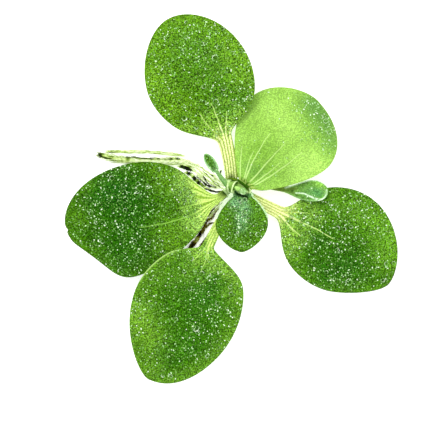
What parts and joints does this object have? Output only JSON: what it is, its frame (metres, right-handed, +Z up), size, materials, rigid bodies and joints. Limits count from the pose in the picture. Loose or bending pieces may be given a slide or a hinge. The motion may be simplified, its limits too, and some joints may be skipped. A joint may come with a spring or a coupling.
{
  "type": "water lettuce plant",
  "caption": "Young water lettuce rosette: rounded felted leaves on short stalks round a small crown, with feathery roots, lying leaf side up.",
  "frame": {"origin": "middle of the flat underside of the crown, where the plant rests on the surface", "axes": "+X towards the right leaf, +Y towards the upper leaf, +Z up from the surface; the plant is seen from +Z"},
  "size_m": [0.0834, 0.0926, 0.0117],
  "materials": {
    "leaf_green": "matte",
    "leaf_bright": "matte",
    "leaf_deep": "matte",
    "leaf_young": "matte",
    "crown_tissue": "satin",
    "root_pale": "matte",
    "root_dark": "matte"
  },
  "bodies": {
    "root": {"crown": "crown_tissue", "bud": "crown_tissue", "leaf_sheath": "leaf_deep", "leaf_upper": "leaf_green", "leaf_upper_right": "leaf_bright", "leaf_right": "leaf_green", "leaf_lower": "leaf_green", "leaf_left": "leaf_green", "leaf_centre": "leaf_deep", "leaf_young_folded": "leaf_young", "leaf_young_furled": "leaf_young", "root_long": "root_pale", "root_upper_strand": "root_pale", "root_short": "root_pale", "root_dark": "root_dark", "root_thin_left": "root_dark", "root_thin_right": "root_dark"}
  },
  "joints": []
}
